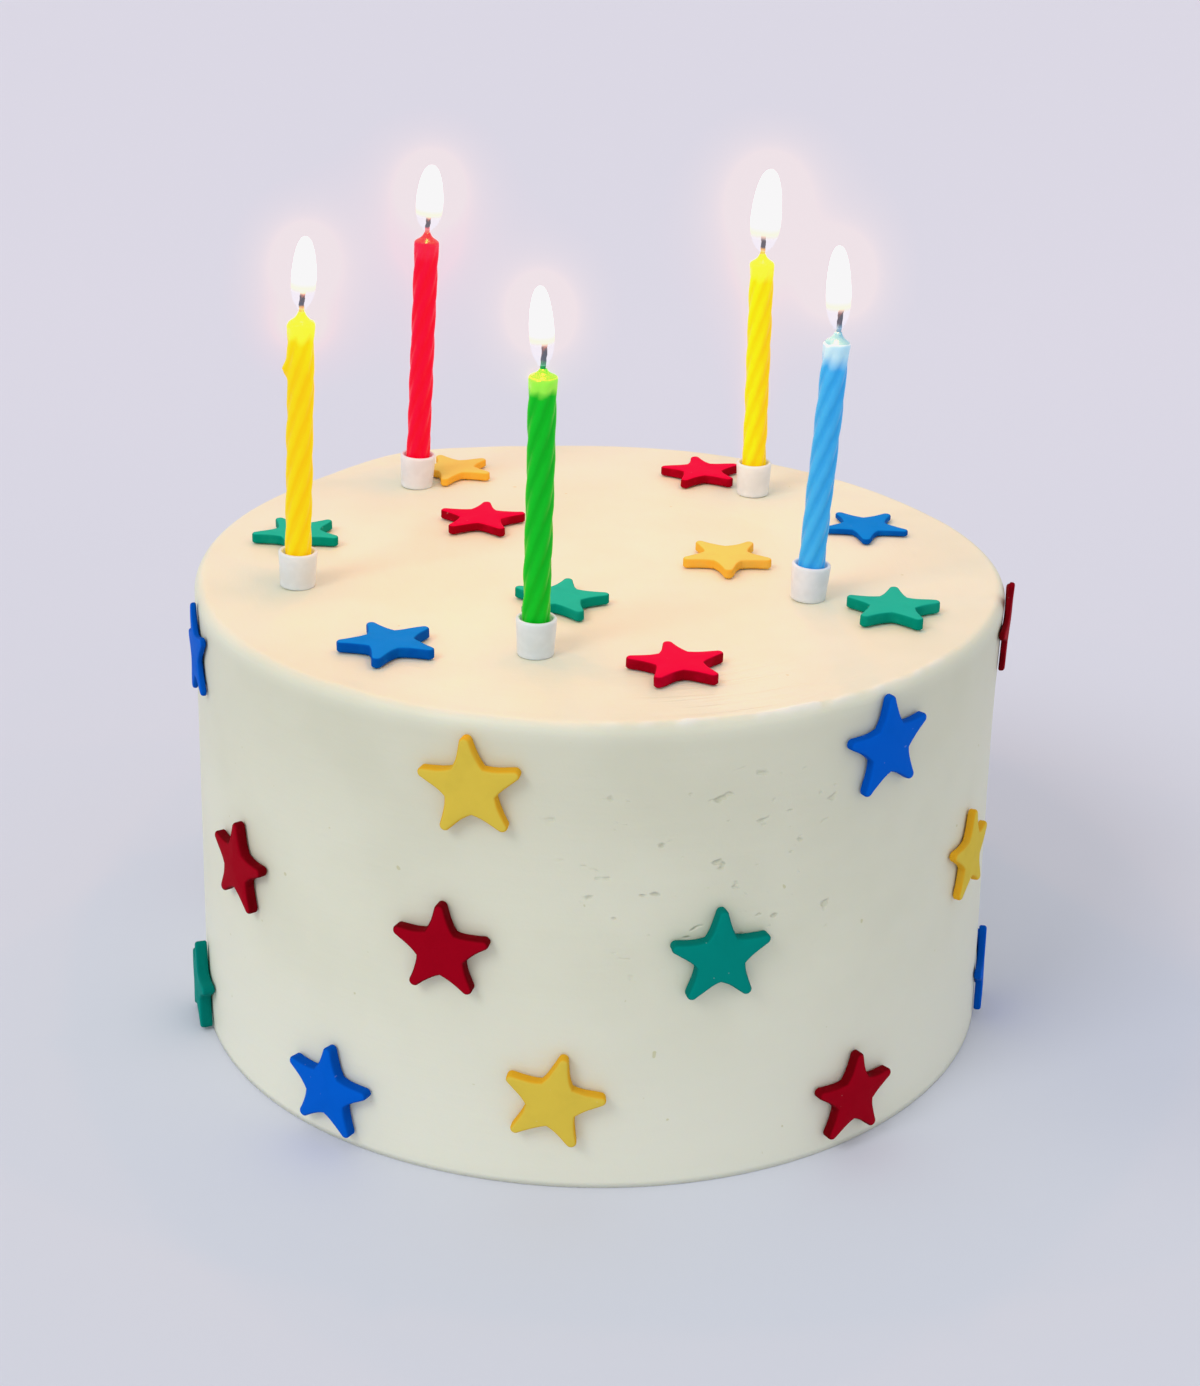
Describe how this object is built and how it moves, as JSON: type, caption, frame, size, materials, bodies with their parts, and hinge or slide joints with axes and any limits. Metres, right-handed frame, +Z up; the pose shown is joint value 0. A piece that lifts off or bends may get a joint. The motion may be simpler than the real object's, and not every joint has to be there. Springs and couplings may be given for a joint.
{
  "type": "birthday cake with candles",
  "caption": "Round iced birthday cake with coloured fondant stars pressed on its top and side, and lit spiral candles standing in small plastic holders.",
  "frame": {"origin": "middle of the cake's flat underside, where it rests", "axes": "+Z straight up out of the cake's top; -Y towards the side that the picture shows; +X to that side's right"},
  "size_m": [0.1693, 0.1704, 0.1665],
  "materials": {
    "icing": "satin spread icing",
    "fondant_blue": "matte sugar paste",
    "fondant_red": "matte sugar paste",
    "fondant_green": "matte sugar paste",
    "fondant_yellow": "matte sugar paste",
    "wax_yellow": "smooth translucent wax",
    "wax_red": "smooth translucent wax",
    "wax_green": "smooth translucent wax",
    "wax_blue": "smooth translucent wax",
    "holder_plastic": "milky translucent moulding",
    "wick_char": "charred cotton",
    "flame_glow": "glowing gas, shown as a solid"
  },
  "bodies": {
    "root": {"cake": "icing", "candle_blue": "wax_blue", "candle_green": "wax_green", "candle_red": "wax_red", "candle_yellow_left": "wax_yellow", "candle_yellow_right": "wax_yellow", "flame_blue": "flame_glow", "flame_green": "flame_glow", "flame_red": "flame_glow", "flame_yellow_left": "flame_glow", "flame_yellow_right": "flame_glow", "holder_blue": "holder_plastic", "holder_green": "holder_plastic", "holder_red": "holder_plastic", "holder_yellow_left": "holder_plastic", "holder_yellow_right": "holder_plastic", "star_side_01": "fondant_blue", "star_side_02": "fondant_yellow", "star_side_03": "fondant_blue", "star_side_04": "fondant_red", "star_side_05": "fondant_red", "star_side_06": "fondant_red", "star_side_07": "fondant_green", "star_side_08": "fondant_yellow", "star_side_09": "fondant_green", "star_side_10": "fondant_blue", "star_side_11": "fondant_yellow", "star_side_12": "fondant_red", "star_side_13": "fondant_blue", "star_side_14": "fondant_green", "star_side_15": "fondant_yellow", "star_side_16": "fondant_red", "star_side_17": "fondant_blue", "star_side_18": "fondant_red", "star_side_19": "fondant_green", "star_side_20": "fondant_yellow", "star_side_21": "fondant_blue", "star_side_22": "fondant_green", "star_side_23": "fondant_yellow", "star_side_24": "fondant_blue", "star_side_25": "fondant_red", "star_top_01": "fondant_green", "star_top_02": "fondant_yellow", "star_top_03": "fondant_red", "star_top_04": "fondant_red", "star_top_05": "fondant_yellow", "star_top_06": "fondant_blue", "star_top_07": "fondant_green", "star_top_08": "fondant_green", "star_top_09": "fondant_blue", "star_top_10": "fondant_red", "wick_blue": "wick_char", "wick_green": "wick_char", "wick_red": "wick_char", "wick_yellow_left": "wick_char", "wick_yellow_right": "wick_char"}
  },
  "joints": []
}
